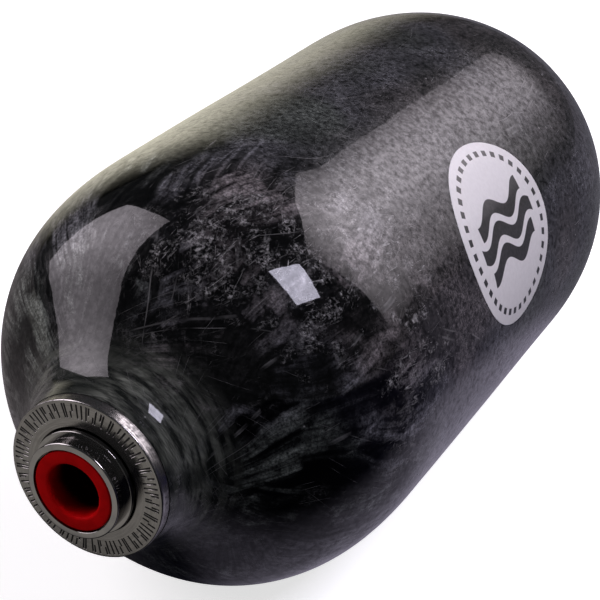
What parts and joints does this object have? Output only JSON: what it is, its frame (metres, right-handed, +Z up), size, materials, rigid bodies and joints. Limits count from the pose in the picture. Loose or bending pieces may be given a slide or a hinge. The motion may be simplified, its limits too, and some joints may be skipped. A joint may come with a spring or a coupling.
{
  "type": "high-pressure air cylinder",
  "caption": "Small fibre-wrapped air cylinder on its side: domed ends, bare metal neck ring, bright threaded port nose and a hollow red screw plug.",
  "frame": {"origin": "centre of the whole object, on the cylinder's axis", "axes": "+Y along the axis from the neck to the closed end, +Z up with the cylinder lying on its side, +X to the right when looking along +Y"},
  "size_m": [0.0904, 0.1912, 0.0904],
  "materials": {
    "satin_aluminium": "turned, satin, with fine circular tool marks",
    "glass_fibre": "glass fibre in cured resin",
    "carbon_fibre": "wound carbon fibre in cured resin",
    "wetted_glass_fibre": "resin-soaked glass fibre, the dark carbon shows through",
    "label_film": "white printed film",
    "clear_resin": "high-gloss clear resin",
    "bright_steel": "polished",
    "black_rubber": "smooth",
    "red_plastic": "moulded, slightly glossy"
  },
  "bodies": {
    "cylinder": {"liner": "satin_aluminium", "glass_isolation_layer": "glass_fibre", "carbon_helical_wrap": "carbon_fibre", "carbon_hoop_wrap": "carbon_fibre", "glass_outer_wrap": "wetted_glass_fibre", "round_label": "label_film", "clear_coat": "clear_resin", "thread_insert": "bright_steel", "insert_ring": "black_rubber"},
    "plug_carrier": {"plug_ring": "black_rubber"},
    "plug": {"port_plug": "red_plastic"}
  },
  "joints": [
    {"name": "port_plug_travel", "type": "slide", "parent": "cylinder", "child": "plug_carrier", "axis": [0, -1, 0], "range_m": [0, 0.0085]},
    {"name": "port_plug_turn", "type": "hinge", "parent": "plug_carrier", "child": "plug", "pos_m": [0, -0.0955, 0], "axis": [0, -1, 0], "range_deg": [0, 2160]}
  ],
  "couplings": [
    {"joint": "port_plug_travel", "follows": "port_plug_turn", "m_per_rad": 0.00022458}
  ]
}
